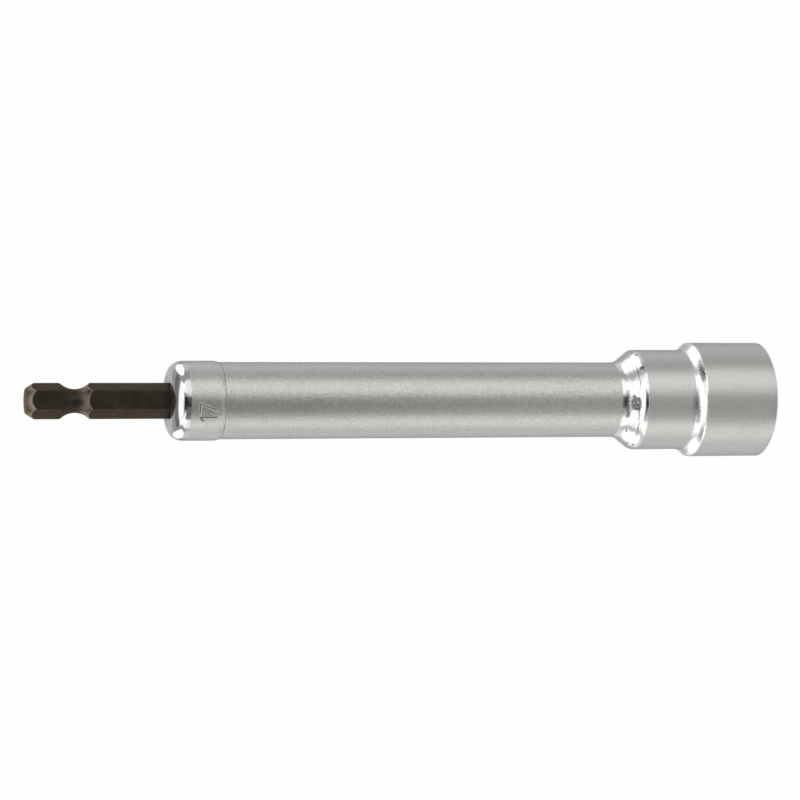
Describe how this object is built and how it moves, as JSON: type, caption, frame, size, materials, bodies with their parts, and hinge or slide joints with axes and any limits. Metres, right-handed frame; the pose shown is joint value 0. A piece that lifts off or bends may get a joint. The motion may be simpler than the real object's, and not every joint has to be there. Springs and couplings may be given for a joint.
{
  "type": "deep socket",
  "caption": "Extra-long deep socket with a hex drive shank, for turning nuts far down a threaded rod with a power driver.",
  "frame": {"origin": "centre of the mouth's face, on the axis, so the socket stands on its mouth", "axes": "+Z along the axis from the mouth to the tip of the drive shank; the flats of the hex socket and of the shank are square to Y"},
  "size_m": [0.024, 0.024, 0.1557],
  "materials": {
    "head_chrome": "satin chrome plate, bright on the forged steps",
    "barrel_chrome": "satin chrome plate",
    "collar_chrome": "satin chrome plate, polished on the rounded end",
    "shank_oxide": "dark brown oxide, semi-matt",
    "ring_steel": "spring steel, phosphated"
  },
  "bodies": {
    "root": {"socket_head": "head_chrome", "barrel": "barrel_chrome", "end_collar": "collar_chrome", "hex_shank": "shank_oxide", "retaining_ring": "ring_steel"}
  },
  "joints": []
}
